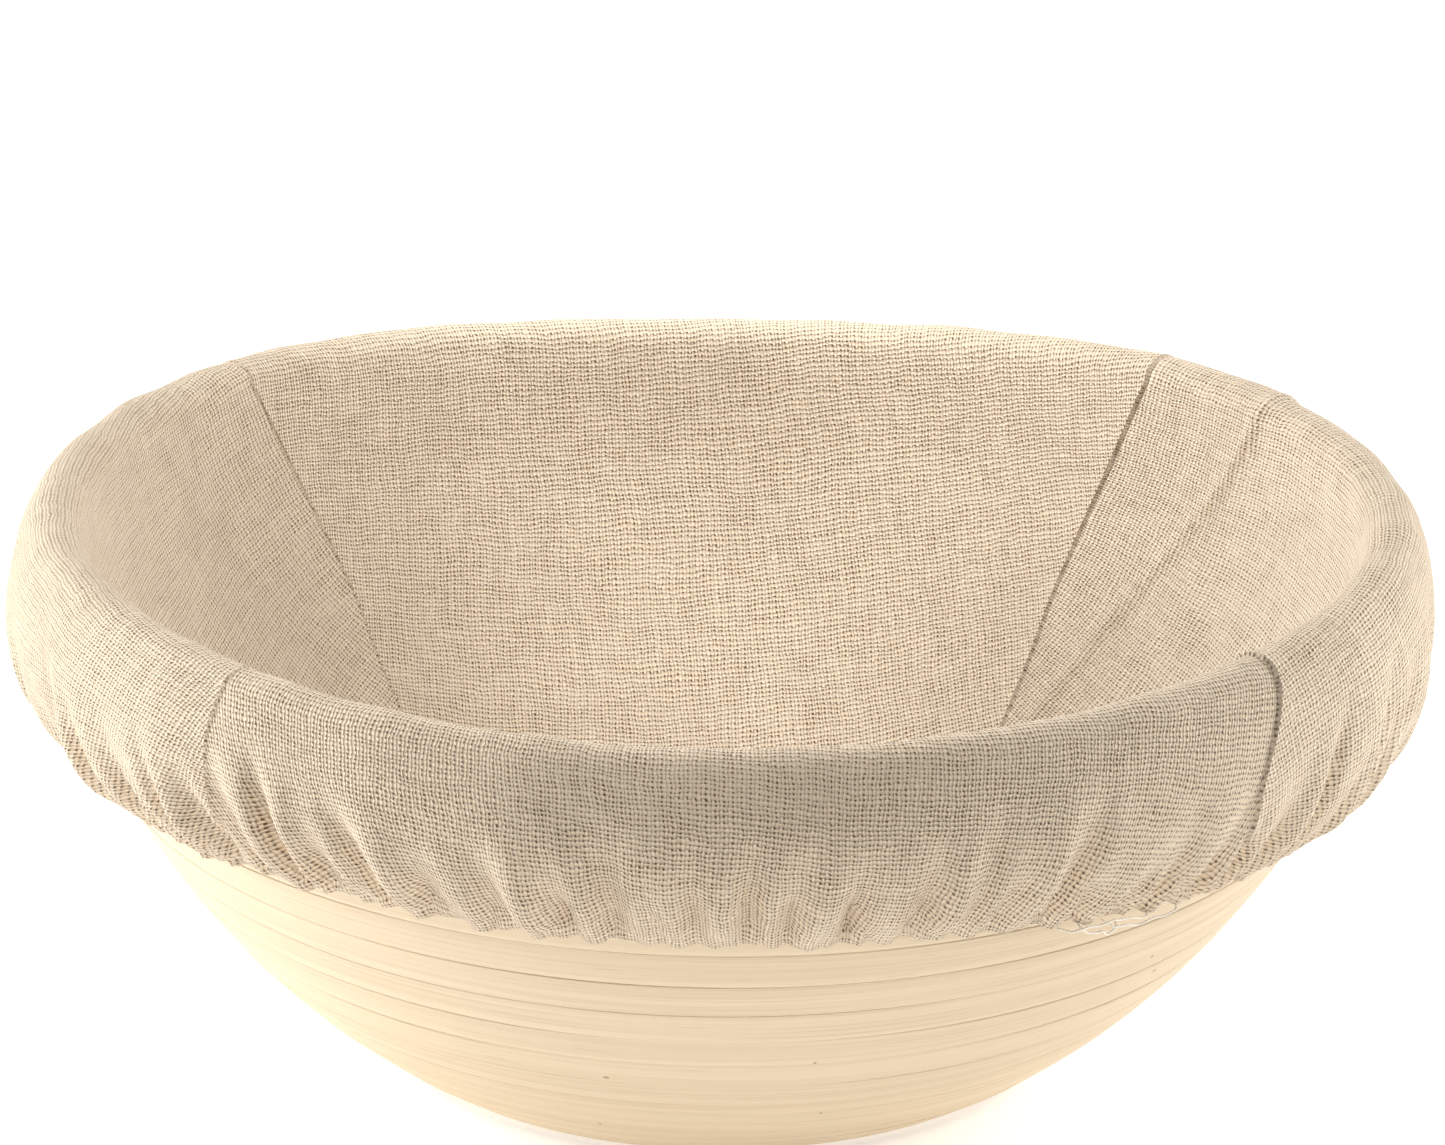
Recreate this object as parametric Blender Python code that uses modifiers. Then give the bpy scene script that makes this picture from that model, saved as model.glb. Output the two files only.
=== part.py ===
"""Round proofing basket: coiled cane pinned turn on turn, with a removable gathered linen liner.

The canes follow one meridian, a flat floor, a tight heel and a wide wall arc, and climb it by one pitch
a turn. The climb takes place in the back half, so the front half and the rim are level. Everything that
lies on the canes is an offset of the same meridian.
"""

import math

import bmesh
import bpy
from mathutils import Matrix, Vector

# Overall sizes, in metres. The meridian is the line through the middle of the canes.
RIM_RADIUS = 0.1120  # meridian at the top turn
RIM_HEIGHT = 0.0894  # meridian at the top turn, above the floor that the basket stands on
RIM_SWAY = 0.0025  # rim stands higher at left and right, and lower at front and back, by this
RIM_BACK = 0.0020  # more height at the middle of the back
RIM_BACK_CORNERS = 0.0018  # more height over the liner's two corners at the back
FLOOR_RADIUS = 0.0460  # flat part of the base
HEEL_BEND = 0.0202  # radius of the bend from floor to wall
RIM_SLOPE = math.radians(80)  # of the wall at the rim, from level

# Canes
CANE = 0.0066  # across the flats
CANE_GAP = 0.0004  # between turns
CANE_SIDES = 8
COIL_START = 0.0056  # radius of the innermost turn
COIL_FACETS = 20  # straight runs in a turn, so that one faces each corner of the liner
RIM_END = 0.36  # share of the thickness left at the tapered end
EASE = 0.3  # how gently each climb starts and ends
HEEL_TURNS = 4
RIM_TURNS = 2
SPLICE_FACET = 19  # each cane ends in the middle of this facet

# Pins
PIN_RADIUS = 0.0005
PIN_SIDES = 8
PIN_SPAN = 2  # turns from one end to the other
PIN_RECESS = 0.0008  # below the top of the upper turn
HOLE_SIDES = 6
FLOOR_PIN_FACETS = [(2, 12), (7, 17), (3, 13)]
WALL_PIN_FACETS = [(1, 8, 15), (5, 11, 17)]
RIM_PIN_FACETS = (3, 10, 14)

# Liner
GAP = 0.0003  # between pieces that touch
CLOTH = 0.0010
RIM_FOLD = 0.0003  # slack of the cloth over the top turn
SKIRT_DROP = 0.0320  # from the top turn down to the middle of the hem, along the wall
SKIRT_BULGE = 0.0057  # how far the gathers stand out beyond a taut skirt
ELASTIC_RADIUS = 0.0015
ELASTIC_SIDES = 8
HEM_TURN_UP = 0.0070
DART_WIDTH = 0.0080
DART_THICKNESS = 0.0010
LIFT = 0.1100  # how far the liner comes up

HALF_CANE = CANE / 2
CANE_CORNER = HALF_CANE / math.cos(math.pi / CANE_SIDES)
HEEL_STEPS = 4
WALL_STEPS = 12
FOLD_STEPS = 6
SKIRT_STEPS = 6
HEM_STEPS = 6  # round the elastic
BULGE_UP = 0.8  # power that moves the fullest place of the skirt up, 1 is half way

MODEL = "banneton_basket"


def clear_objects():
    for old in list(bpy.data.objects):
        bpy.data.objects.remove(old, do_unlink=True)


def collection(name):
    made = bpy.data.collections.new(name)
    bpy.context.scene.collection.children.link(made)
    return made


def material(name, color, roughness, metallic=0.0):
    made = bpy.data.materials.new(name)
    made.use_nodes = True
    shader = made.node_tree.nodes["Principled BSDF"]
    shader.inputs["Base Color"].default_value = (*color, 1.0)
    shader.inputs["Roughness"].default_value = roughness
    shader.inputs["Metallic"].default_value = metallic
    made.diffuse_color = (*color, 1.0)
    return made


# The meridian


def foot_slope():
    """Slope where the heel meets the wall, so that the wall arc ends at the rim at RIM_SLOPE."""
    slope = RIM_SLOPE / 2
    for _ in range(60):
        across = RIM_RADIUS - FLOOR_RADIUS - HEEL_BEND * math.sin(slope)
        up = RIM_HEIGHT - HALF_CANE - HEEL_BEND * (1 - math.cos(slope))
        slope = 2 * math.atan2(up, across) - RIM_SLOPE
    return slope


FOOT_SLOPE = foot_slope()
FOOT_RADIUS = FLOOR_RADIUS + HEEL_BEND * math.sin(FOOT_SLOPE)
FOOT_HEIGHT = HALF_CANE + HEEL_BEND * (1 - math.cos(FOOT_SLOPE))
WALL_BEND = (RIM_HEIGHT - FOOT_HEIGHT) / (math.cos(FOOT_SLOPE) - math.cos(RIM_SLOPE))
FOOT_AT = FLOOR_RADIUS + HEEL_BEND * FOOT_SLOPE
RIM_AT = FOOT_AT + WALL_BEND * (RIM_SLOPE - FOOT_SLOPE)

TURNS = int((RIM_AT - COIL_START) / (CANE + CANE_GAP))
PITCH = (RIM_AT - COIL_START) / TURNS


def meridian(along, out=0.0):
    """Radius, height and slope at a length along the meridian, moved out from the hollow by out."""
    if along <= FLOOR_RADIUS:
        radius, height, slope = along, HALF_CANE, 0.0
    elif along <= FOOT_AT:
        slope = (along - FLOOR_RADIUS) / HEEL_BEND
        radius = FLOOR_RADIUS + HEEL_BEND * math.sin(slope)
        height = HALF_CANE + HEEL_BEND * (1 - math.cos(slope))
    else:
        slope = FOOT_SLOPE + (along - FOOT_AT) / WALL_BEND
        radius = FOOT_RADIUS + WALL_BEND * (math.sin(slope) - math.sin(FOOT_SLOPE))
        height = FOOT_HEIGHT + WALL_BEND * (math.cos(FOOT_SLOPE) - math.cos(slope))
    return radius + out * math.sin(slope), height - out * math.cos(slope), slope


def sway(along, angle):
    """How far the rim's sway lifts a place, from none on the floor to all of it at the rim."""
    share = (along - FLOOR_RADIUS) / (RIM_AT - FLOOR_RADIUS)
    lift = RIM_SWAY * math.cos(2 * angle)
    if math.sin(angle) > 0:
        lift += RIM_BACK * math.sin(angle) ** 2 + RIM_BACK_CORNERS * math.sin(2 * angle) ** 2
    return lift * min(max(share, 0.0), 1.0)


SAMPLES = 400
MERIDIAN_SAMPLES = [RIM_AT * i / SAMPLES for i in range(SAMPLES + 1)]


def along_of(radius, height):
    """Length along the meridian of its point nearest to a radius and height."""

    def distance(along):
        near_radius, near_height, _ = meridian(along)
        return (near_radius - radius) ** 2 + (near_height - height) ** 2

    return min(MERIDIAN_SAMPLES, key=distance)


def sway_mesh(mesh):
    for vertex in mesh.vertices:
        radius = math.hypot(vertex.co.x, vertex.co.y)
        angle = math.atan2(vertex.co.y, vertex.co.x)
        vertex.co.z += sway(along_of(radius, vertex.co.z), angle)
    mesh.update()


# The coil


def climb(share):
    """Part of a pitch gained after a share of a turn: all of it in the first, back half."""
    share = min(2 * share, 1.0)
    return share - EASE * math.sin(2 * math.pi * share) / (2 * math.pi)


def squeeze(along):
    """Thickness share that keeps the gap between turns where the meridian bends sharply."""
    slopes = [meridian(max(along + step, 0.0))[2] for step in (-PITCH, 0.0, PITCH)]
    bend = max(slopes[2] - slopes[1], slopes[1] - slopes[0])
    room = PITCH * (1 - bend * bend / 24) - GAP
    return min(1.0, room / CANE / (1 + math.tan(math.pi / CANE_SIDES) * math.sin(bend / 2)))


def coil_corner(index):
    """Place, slope and thickness share of the coil at one corner, counted from its inner end."""
    turn, facet = divmod(index, COIL_FACETS)
    angle = 2 * math.pi * facet / COIL_FACETS
    gained = climb(facet / COIL_FACETS)
    along = COIL_START + PITCH * (turn + gained)
    thickness = squeeze(along)
    if turn == TURNS:
        thickness = 1 - gained * PITCH / CANE
        along = RIM_AT + HALF_CANE * (1 - thickness)
    radius, height, slope = meridian(along)
    height += sway(along, angle)
    place = Vector((radius * math.cos(angle), radius * math.sin(angle), height))
    return place, slope, thickness


def facet_middle(turn, facet):
    index = turn * COIL_FACETS + facet
    return (coil_corner(index)[0] + coil_corner(index + 1)[0]) / 2


def last_corner():
    index = TURNS * COIL_FACETS
    while coil_corner(index + 1)[2] > RIM_END:
        index += 1
    return index


def cane_runs():
    """Name, first and last corner of each cane, from the middle of the floor to the rim."""
    floor_turns = int((FLOOR_RADIUS - COIL_START) / PITCH) + 1
    wall_from = floor_turns + HEEL_TURNS
    wall_turns = TURNS - RIM_TURNS - wall_from
    turns = [floor_turns, wall_from]
    turns += [wall_from + round(wall_turns * part / 3) for part in (1, 2, 3)]
    names = ["floor_cane", "heel_cane", "lower_wall_cane", "middle_wall_cane", "upper_wall_cane", "rim_cane"]
    ends = [(turn - 1) * COIL_FACETS + SPLICE_FACET for turn in turns]
    firsts = [0] + [end + 1 for end in ends]
    return list(zip(names, firsts, ends + [last_corner()]))


def end_point(index, towards):
    """Cut end in the middle of a facet, half a gap short of the next cane's end."""
    here, slope, thickness = coil_corner(index)
    there = coil_corner(index + towards)[0]
    run = there - here
    return here + run * (0.5 - GAP / 2 / run.length), slope, thickness


def cane_points(first, last):
    points = [coil_corner(index) for index in range(first, last + 1)]
    if first > 0:
        points.insert(0, end_point(first, -1))
    if last < last_corner():
        points.append(end_point(last, 1))
    return points


def as_mesh_object(source, name, target):
    """Mesh copy of an object as its modifiers leave it, in world space, in place of the object."""
    bpy.context.view_layer.update()
    evaluated = source.evaluated_get(bpy.context.evaluated_depsgraph_get())
    mesh = bpy.data.meshes.new_from_object(evaluated)
    mesh.transform(source.matrix_world)
    bpy.data.objects.remove(source, do_unlink=True)
    work = bmesh.new()
    work.from_mesh(mesh)
    bmesh.ops.remove_doubles(work, verts=work.verts, dist=0.00001)
    work.to_mesh(mesh)
    work.free()
    mesh.name = name
    made = bpy.data.objects.new(name, mesh)
    target.objects.link(made)
    return made


def finish(made, surface):
    made.data.materials.clear()
    made.data.materials.append(surface)
    made.data.shade_smooth()
    made.data.set_sharp_from_angle(angle=math.radians(40))
    return made


def cane(name, first, last, parts, surface, holes):
    """Tube whose flats face its neighbours and the two faces of the wall, with the pins' holes."""
    outline = bpy.data.curves.new(name, "CURVE")
    outline.dimensions = "3D"
    outline.twist_mode = "Z_UP"
    outline.bevel_depth = CANE_CORNER
    outline.bevel_resolution = CANE_SIDES // 2 - 2
    outline.use_fill_caps = True
    points = cane_points(first, last)
    spline = outline.splines.new("POLY")
    spline.points.add(len(points) - 1)
    for point, (place, slope, thickness) in zip(spline.points, points):
        point.co = (*place, 1.0)
        point.tilt = math.pi / CANE_SIDES - slope
        point.radius = thickness
    curve = bpy.data.objects.new(name, outline)
    parts.objects.link(curve)
    made = as_mesh_object(curve, name, parts)
    cut = made.modifiers.new("pin holes", "BOOLEAN")
    cut.operation = "DIFFERENCE"
    cut.object = holes
    return finish(made, surface)


# The pins


def pin_places():
    """Name, lowest turn and facet of each pin. Pins in turns that touch stand in other facets."""
    places = []
    top = TURNS - 1 - PIN_SPAN
    for level, turn in enumerate(range(0, top + 1, PIN_SPAN)):
        in_floor = level < len(FLOOR_PIN_FACETS)
        facets = FLOOR_PIN_FACETS[level] if in_floor else WALL_PIN_FACETS[level % 2]
        places += [("floor" if in_floor else "wall", turn, facet) for facet in facets]
    if top % PIN_SPAN:
        places += [("rim", top, facet) for facet in RIM_PIN_FACETS]
    counts = {}
    named = []
    for where, turn, facet in places:
        counts[where] = counts.get(where, 0) + 1
        named.append((f"{where}_pin_{counts[where]:02d}", turn, facet))
    return named


def rod(foot, head, radius, sides, name):
    """Straight rod between two points."""
    run = head - foot
    mesh = bpy.data.meshes.new(name)
    work = bmesh.new()
    bmesh.ops.create_cone(
        work, cap_ends=True, segments=sides, radius1=radius, radius2=radius, depth=run.length
    )
    work.to_mesh(mesh)
    work.free()
    turned = run.to_track_quat("Z", "Y").to_matrix().to_4x4()
    return mesh, Matrix.Translation((foot + head) / 2) @ turned


def pin_line(turn, facet):
    """Foot in the middle of the lowest turn, and the top of the highest turn, above its middle."""
    foot = facet_middle(turn, facet)
    high = facet_middle(turn + PIN_SPAN, facet)
    return foot, high + (high - foot).normalized() * HALF_CANE


def pins(parts, surface):
    for name, turn, facet in pin_places():
        foot, top = pin_line(turn, facet)
        head = top - (top - foot).normalized() * PIN_RECESS
        mesh, place = rod(foot, head, PIN_RADIUS, PIN_SIDES, name)
        made = bpy.data.objects.new(name, mesh)
        made.matrix_world = place
        parts.objects.link(made)
        finish(made, surface)


def pin_holes(cutters):
    """One cutter for every pin's hole, which is blind at the foot and open above."""
    radius = (PIN_RADIUS + GAP) / math.cos(math.pi / HOLE_SIDES)
    joined = bpy.data.meshes.new("pin_holes")
    work = bmesh.new()
    for _, turn, facet in pin_places():
        foot, top = pin_line(turn, facet)
        way = (top - foot).normalized()
        mesh, place = rod(foot - way * GAP, top + way * CANE_GAP / 3, radius, HOLE_SIDES, "hole")
        mesh.transform(place)
        work.from_mesh(mesh)
        bpy.data.meshes.remove(mesh)
    work.to_mesh(joined)
    work.free()
    made = bpy.data.objects.new("pin_holes", joined)
    made.hide_render = True
    made.display_type = "WIRE"
    cutters.objects.link(made)
    return made


# The liner

UNDER_CLOTH = HALF_CANE + GAP + CLOTH / 2  # from the meridian to the middle of the cloth
FOLD_RADIUS = (CANE_CORNER + RIM_FOLD + CLOTH / 2) / math.cos(math.pi / FOLD_STEPS / 2)
HEM_CLEAR = ELASTIC_RADIUS / math.cos(math.pi / ELASTIC_SIDES) + GAP + CLOTH / 2
HEM_RADIUS = HEM_CLEAR / math.cos(math.pi / HEM_STEPS / 2)
HEM_OUT = HALF_CANE + GAP + CLOTH / 2 + HEM_RADIUS
HEM_AT = RIM_AT - SKIRT_DROP


def wall_stops():
    """Lengths along the meridian where the cloth on the wall bends, from its foot to below the rim."""
    return [FOOT_AT + (RIM_AT - FOOT_AT) * i / WALL_STEPS for i in range(WALL_STEPS)]


def bowl_profile():
    """Middle of the cloth from the axis up the wall and over the top turn to its outer side."""
    stops = [0.0]
    stops += [FLOOR_RADIUS + (FOOT_AT - FLOOR_RADIUS) * i / HEEL_STEPS for i in range(HEEL_STEPS)]
    stops += wall_stops()
    profile = [meridian(along, -UNDER_CLOTH)[:2] for along in stops]
    turn_from = math.pi / 2 + RIM_SLOPE
    for step in range(FOLD_STEPS + 1):
        angle = turn_from + (RIM_SLOPE - math.pi / 2 - turn_from) * step / FOLD_STEPS
        angle = max(angle, 0.0)
        profile.append(
            (RIM_RADIUS + FOLD_RADIUS * math.cos(angle), RIM_HEIGHT + FOLD_RADIUS * math.sin(angle))
        )
        if angle == 0.0:
            break
    return profile


def skirt_profile():
    """Middle of the cloth from the outer side of the rim down to the hem, round the elastic and up."""
    top = (RIM_RADIUS + FOLD_RADIUS, RIM_HEIGHT - GAP)
    hem_radius, hem_height, slope = meridian(HEM_AT, HEM_OUT)
    outward = (math.sin(slope), -math.cos(slope))
    join = (hem_radius + HEM_RADIUS * outward[0], hem_height + HEM_RADIUS * outward[1])
    profile = []
    for step in range(SKIRT_STEPS + 1):
        share = step / SKIRT_STEPS
        bulge = SKIRT_BULGE * math.sin(math.pi * share**BULGE_UP)
        profile.append(
            (
                top[0] + (join[0] - top[0]) * share + bulge * math.sin(slope),
                top[1] + (join[1] - top[1]) * share - bulge * math.cos(slope),
            )
        )
    for step in range(1, HEM_STEPS + 1):
        angle = slope - math.pi / 2 - math.pi * step / HEM_STEPS
        profile.append(
            (hem_radius + HEM_RADIUS * math.cos(angle), hem_height + HEM_RADIUS * math.sin(angle))
        )
    profile.append(meridian(HEM_AT + HEM_TURN_UP, HALF_CANE + GAP + CLOTH / 2)[:2])
    return profile


def turned_cloth(name, profile, parts, surface):
    """Open turned surface through the middle of the cloth, thickened both ways."""
    line = bpy.data.meshes.new(name)
    edges = [(i, i + 1) for i in range(len(profile) - 1)]
    line.from_pydata([(radius, 0.0, height) for radius, height in profile], edges, [])
    outline = bpy.data.objects.new(name, line)
    parts.objects.link(outline)
    turn = outline.modifiers.new("turn", "SCREW")
    turn.steps = COIL_FACETS
    turn.render_steps = COIL_FACETS
    turn.use_merge_vertices = True
    turn.merge_threshold = 0.00001
    made = as_mesh_object(outline, name, parts)
    sway_mesh(made.data)
    thicken = made.modifiers.new("cloth", "SOLIDIFY")
    thicken.thickness = CLOTH
    thicken.offset = 0.0
    thicken.use_even_offset = True
    return finish(made, surface)


def elastic(parts, surface):
    radius, height, _ = meridian(HEM_AT, HEM_OUT)
    bpy.ops.mesh.primitive_torus_add(
        major_segments=COIL_FACETS,
        minor_segments=ELASTIC_SIDES,
        major_radius=radius,
        minor_radius=ELASTIC_RADIUS,
        location=(0, 0, height),
    )
    made = as_mesh_object(bpy.context.object, "hem_elastic", parts)
    sway_mesh(made.data)
    return finish(made, surface)


def dart(name, azimuth, parts, surface):
    """Folded corner of the cloth, a flat strip up the inner face of the bowl."""
    inner = UNDER_CLOTH + CLOTH / 2 + GAP
    stops = wall_stops()
    outline = [meridian(along, -inner)[:2] for along in stops]
    outline += [meridian(along, -inner - DART_THICKNESS)[:2] for along in reversed(stops)]
    flat = bpy.data.curves.new(name, "CURVE")
    flat.dimensions = "2D"
    flat.fill_mode = "BOTH"
    flat.extrude = DART_WIDTH / 2
    spline = flat.splines.new("POLY")
    spline.points.add(len(outline) - 1)
    spline.use_cyclic_u = True
    across_flats = math.cos(math.pi / COIL_FACETS)
    for point, (radius, height) in zip(spline.points, outline):
        point.co = (radius * across_flats, height, 0.0, 1.0)
    strip = bpy.data.objects.new(name, flat)
    strip.rotation_euler = (math.pi / 2, 0.0, azimuth)
    parts.objects.link(strip)
    made = as_mesh_object(strip, name, parts)
    sway_mesh(made.data)
    return finish(made, surface)


def build_basket(parts, cutters):
    cane_surface = material("peeled_cane", (0.84, 0.70, 0.48), 0.55)
    wire = material("pin_wire", (0.55, 0.55, 0.56), 0.35, 1.0)
    holes = pin_holes(cutters)
    for name, first, last in cane_runs():
        cane(name, first, last, parts, cane_surface, holes)
    pins(parts, wire)


def build_liner(parts):
    linen = material("linen", (0.76, 0.63, 0.46), 0.9)
    rubber = material("elastic", (0.85, 0.83, 0.78), 0.7)
    made = [
        turned_cloth("liner_bowl", bowl_profile(), parts, linen),
        turned_cloth("liner_skirt", skirt_profile(), parts, linen),
        elastic(parts, rubber),
    ]
    corners = ["back_right_dart", "back_left_dart", "front_left_dart", "front_right_dart"]
    for quarter, name in enumerate(corners):
        azimuth = math.pi / 4 + quarter * math.pi / 2
        made.append(dart(name, azimuth, parts, linen))
    slide = bpy.data.objects.new("liner_slide", None)
    slide.empty_display_size = LIFT
    parts.objects.link(slide)
    for piece in made:
        piece.parent = slide


def main():
    clear_objects()
    parts = collection(MODEL)
    cutters = collection("cutters")
    build_basket(parts, cutters)
    build_liner(parts)


main()
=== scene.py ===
"""Round proofing basket of coiled cane with a gathered linen liner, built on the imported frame.

The canes and the liner follow one meridian, a flat floor, a tight heel and a wide wall arc, turned
round the Z axis. Every surface is a grid of stations along a path and places around it.
"""

import math

import bpy
import numpy as np
from mathutils import Matrix, Vector


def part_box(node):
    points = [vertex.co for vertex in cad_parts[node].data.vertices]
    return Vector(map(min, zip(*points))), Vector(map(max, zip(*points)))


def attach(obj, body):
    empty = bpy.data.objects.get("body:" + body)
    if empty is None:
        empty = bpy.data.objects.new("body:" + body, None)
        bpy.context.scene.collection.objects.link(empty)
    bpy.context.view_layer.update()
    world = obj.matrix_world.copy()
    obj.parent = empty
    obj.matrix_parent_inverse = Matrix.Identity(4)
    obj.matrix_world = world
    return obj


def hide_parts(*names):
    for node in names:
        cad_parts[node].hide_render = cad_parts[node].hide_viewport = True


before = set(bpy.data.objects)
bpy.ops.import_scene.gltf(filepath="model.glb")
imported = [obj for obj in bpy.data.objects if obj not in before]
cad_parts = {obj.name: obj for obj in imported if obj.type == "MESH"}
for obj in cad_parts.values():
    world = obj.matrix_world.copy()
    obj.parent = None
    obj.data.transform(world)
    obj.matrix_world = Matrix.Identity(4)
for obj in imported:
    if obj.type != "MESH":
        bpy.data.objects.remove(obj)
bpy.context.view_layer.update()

# The meridian through the middle of the canes, as in the frame
RIM_RADIUS = 0.1120
RIM_HEIGHT = 0.0894
RIM_SWAY = 0.0025
RIM_BACK = 0.0020
RIM_BACK_CORNERS = 0.0018
FLOOR_RADIUS = 0.0460
HEEL_BEND = 0.0202
RIM_SLOPE = math.radians(80)
COIL_START = 0.0056
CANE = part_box("floor_cane")[1][2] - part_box("floor_cane")[0][2]
CANE_GAP = 0.0004
CLIMB_EASE = 0.3

# Cloth
CLOTH_OFF = CANE / 2 + 0.0007  # from the meridian to the cloth on the wall
WARP = 0.00064  # spacing of the threads that run from front to back
WEFT = 0.00093  # spacing of the threads that run from left to right
SLANT = 0.09  # how much the rows of the cloth rise to the right at the back and fall at the front
LEAN = 0.09  # how much its columns lean at the back

TAU = 2 * math.pi


# Mesh and path helpers


def put_mesh(name, points, faces, smooth=True):
    """Mesh object from an array of points and an array of quads or triangles."""
    mesh = bpy.data.meshes.new(name)
    mesh.from_pydata(points.tolist(), [], faces.tolist() if isinstance(faces, np.ndarray) else faces)
    mesh.polygons.foreach_set("use_smooth", np.full(len(mesh.polygons), smooth))
    mesh.update()
    made = bpy.data.objects.new(name, mesh)
    bpy.context.scene.collection.objects.link(made)
    return made


def grid_faces(rows, columns, closed):
    """Quads of a grid numbered row by row; closed joins the last column to the first."""
    across = columns if closed else columns - 1
    row, column = np.meshgrid(np.arange(rows - 1), np.arange(across), indexing="ij")
    right = (column + 1) % columns
    quads = [row * columns + column, row * columns + right]
    quads += [(row + 1) * columns + right, (row + 1) * columns + column]
    return np.stack(quads, axis=-1).reshape(-1, 4)


def put_uv(made, corner_uv):
    """UV map from one row of (u, v) for each face corner, in the mesh's own corner order."""
    layer = made.data.uv_layers.new(name="UVMap")
    layer.data.foreach_set("uv", np.ascontiguousarray(corner_uv, dtype=np.float32).ravel())


def ramp(value, low, high):
    """Smooth rise from 0 at low to 1 at high."""
    share = np.clip((value - low) / (high - low), 0.0, 1.0)
    return share * share * (3 - 2 * share)


def waves(place, seed, length, count=5):
    """Sum of a few sines of random length near length and random phase, about -1 to 1."""
    draw = np.random.default_rng(seed)
    total = 0.0
    for _ in range(count):
        total = total + np.sin(TAU * place / (length * draw.uniform(0.6, 1.7)) + draw.uniform(0, TAU))
    return total / math.sqrt(count)


def ring_waves(angle, seed, low, high, count=6):
    """Sum of a few whole-number waves round the basket, about -1 to 1, so that it closes."""
    draw = np.random.default_rng(seed)
    total = 0.0
    for _ in range(count):
        total = total + np.sin(int(draw.integers(low, high + 1)) * angle + draw.uniform(0, TAU))
    return total / math.sqrt(count)


# The meridian and the coil


def foot_slope():
    """Slope where the heel meets the wall, so that the wall arc ends at the rim at RIM_SLOPE."""
    slope = RIM_SLOPE / 2
    for _ in range(60):
        across = RIM_RADIUS - FLOOR_RADIUS - HEEL_BEND * math.sin(slope)
        up = RIM_HEIGHT - CANE / 2 - HEEL_BEND * (1 - math.cos(slope))
        slope = 2 * math.atan2(up, across) - RIM_SLOPE
    return slope


FOOT_SLOPE = foot_slope()
FOOT_RADIUS = FLOOR_RADIUS + HEEL_BEND * math.sin(FOOT_SLOPE)
FOOT_HEIGHT = CANE / 2 + HEEL_BEND * (1 - math.cos(FOOT_SLOPE))
WALL_BEND = (RIM_HEIGHT - FOOT_HEIGHT) / (math.cos(FOOT_SLOPE) - math.cos(RIM_SLOPE))
FOOT_AT = FLOOR_RADIUS + HEEL_BEND * FOOT_SLOPE
RIM_AT = FOOT_AT + WALL_BEND * (RIM_SLOPE - FOOT_SLOPE)
TURNS = int((RIM_AT - COIL_START) / (CANE + CANE_GAP))
PITCH = (RIM_AT - COIL_START) / TURNS


def meridian(along, out=0.0):
    """Radius, height and slope at lengths along the floor, heel arc and wall arc, moved out by out."""
    along = np.asarray(along, dtype=float)
    heel = (along - FLOOR_RADIUS) / HEEL_BEND
    wall = FOOT_SLOPE + (along - FOOT_AT) / WALL_BEND
    on_floor, on_heel = along <= FLOOR_RADIUS, along <= FOOT_AT
    slope = np.where(on_floor, 0.0, np.where(on_heel, heel, wall))
    radius = np.where(
        on_floor,
        along,
        np.where(
            on_heel,
            FLOOR_RADIUS + HEEL_BEND * np.sin(heel),
            FOOT_RADIUS + WALL_BEND * (np.sin(wall) - math.sin(FOOT_SLOPE)),
        ),
    )
    height = np.where(
        on_floor,
        CANE / 2,
        np.where(
            on_heel,
            CANE / 2 + HEEL_BEND * (1 - np.cos(heel)),
            FOOT_HEIGHT + WALL_BEND * (math.cos(FOOT_SLOPE) - np.cos(wall)),
        ),
    )
    return radius + out * np.sin(slope), height - out * np.cos(slope), slope


def sway(along, angle):
    """Lift of a place by the rim's sway: none on the floor, all of it at the rim."""
    share = np.clip((along - FLOOR_RADIUS) / (RIM_AT - FLOOR_RADIUS), 0.0, 1.0)
    back = RIM_BACK * np.sin(angle) ** 2 + RIM_BACK_CORNERS * np.sin(2 * angle) ** 2
    return share * (RIM_SWAY * np.cos(2 * angle) + back * (np.sin(angle) > 0))


def climb(share):
    """Part of a pitch gained after a share of a turn: all of it in the first, back half."""
    share = np.minimum(2 * share, 1.0)
    return share - CLIMB_EASE * np.sin(TAU * share) / TAU


# Shader helpers


def new_group(name, inputs, outputs):
    """Node group with the named sockets, its input and output nodes and a node maker."""
    group = bpy.data.node_groups.new(name, "ShaderNodeTree")
    for label, kind, value in inputs:
        socket = group.interface.new_socket(label, in_out="INPUT", socket_type=kind)
        if value is not None:
            socket.default_value = value
    for label, kind in outputs:
        group.interface.new_socket(label, in_out="OUTPUT", socket_type=kind)
    return group, group.nodes.new("NodeGroupInput"), group.nodes.new("NodeGroupOutput")


def feed(tree, socket, value):
    """Link a socket to another one, or set its number or colour."""
    if isinstance(value, bpy.types.NodeSocket):
        tree.links.new(value, socket)
    else:
        socket.default_value = value


def maths(tree, operation, *values, clamp=False):
    """Math node on sockets and numbers."""
    node = tree.nodes.new("ShaderNodeMath")
    node.operation = operation
    node.use_clamp = clamp
    for socket, value in zip(node.inputs, values):
        feed(tree, socket, value)
    return node.outputs[0]


def smooth_step(tree, value, low, high):
    """Smooth rise from 0 at low to 1 at high."""
    node = tree.nodes.new("ShaderNodeMapRange")
    node.interpolation_type = "SMOOTHSTEP"
    for label, given in (("Value", value), ("From Min", low), ("From Max", high)):
        feed(tree, node.inputs[label], given)
    return node.outputs["Result"]


def noise(tree, vector, scale, detail=2.0, roughness=0.5):
    """One noise from 0 to 1."""
    node = tree.nodes.new("ShaderNodeTexNoise")
    feed(tree, node.inputs["Vector"], vector)
    node.inputs["Scale"].default_value = scale
    node.inputs["Detail"].default_value = detail
    node.inputs["Roughness"].default_value = roughness
    return node.outputs["Fac"]


def noise_vector(tree, vector, scale):
    """Three unlike noises as a vector."""
    node = tree.nodes.new("ShaderNodeTexNoise")
    feed(tree, node.inputs["Vector"], vector)
    node.inputs["Scale"].default_value = scale
    node.inputs["Detail"].default_value = 1.0
    return node.outputs["Color"]


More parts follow.
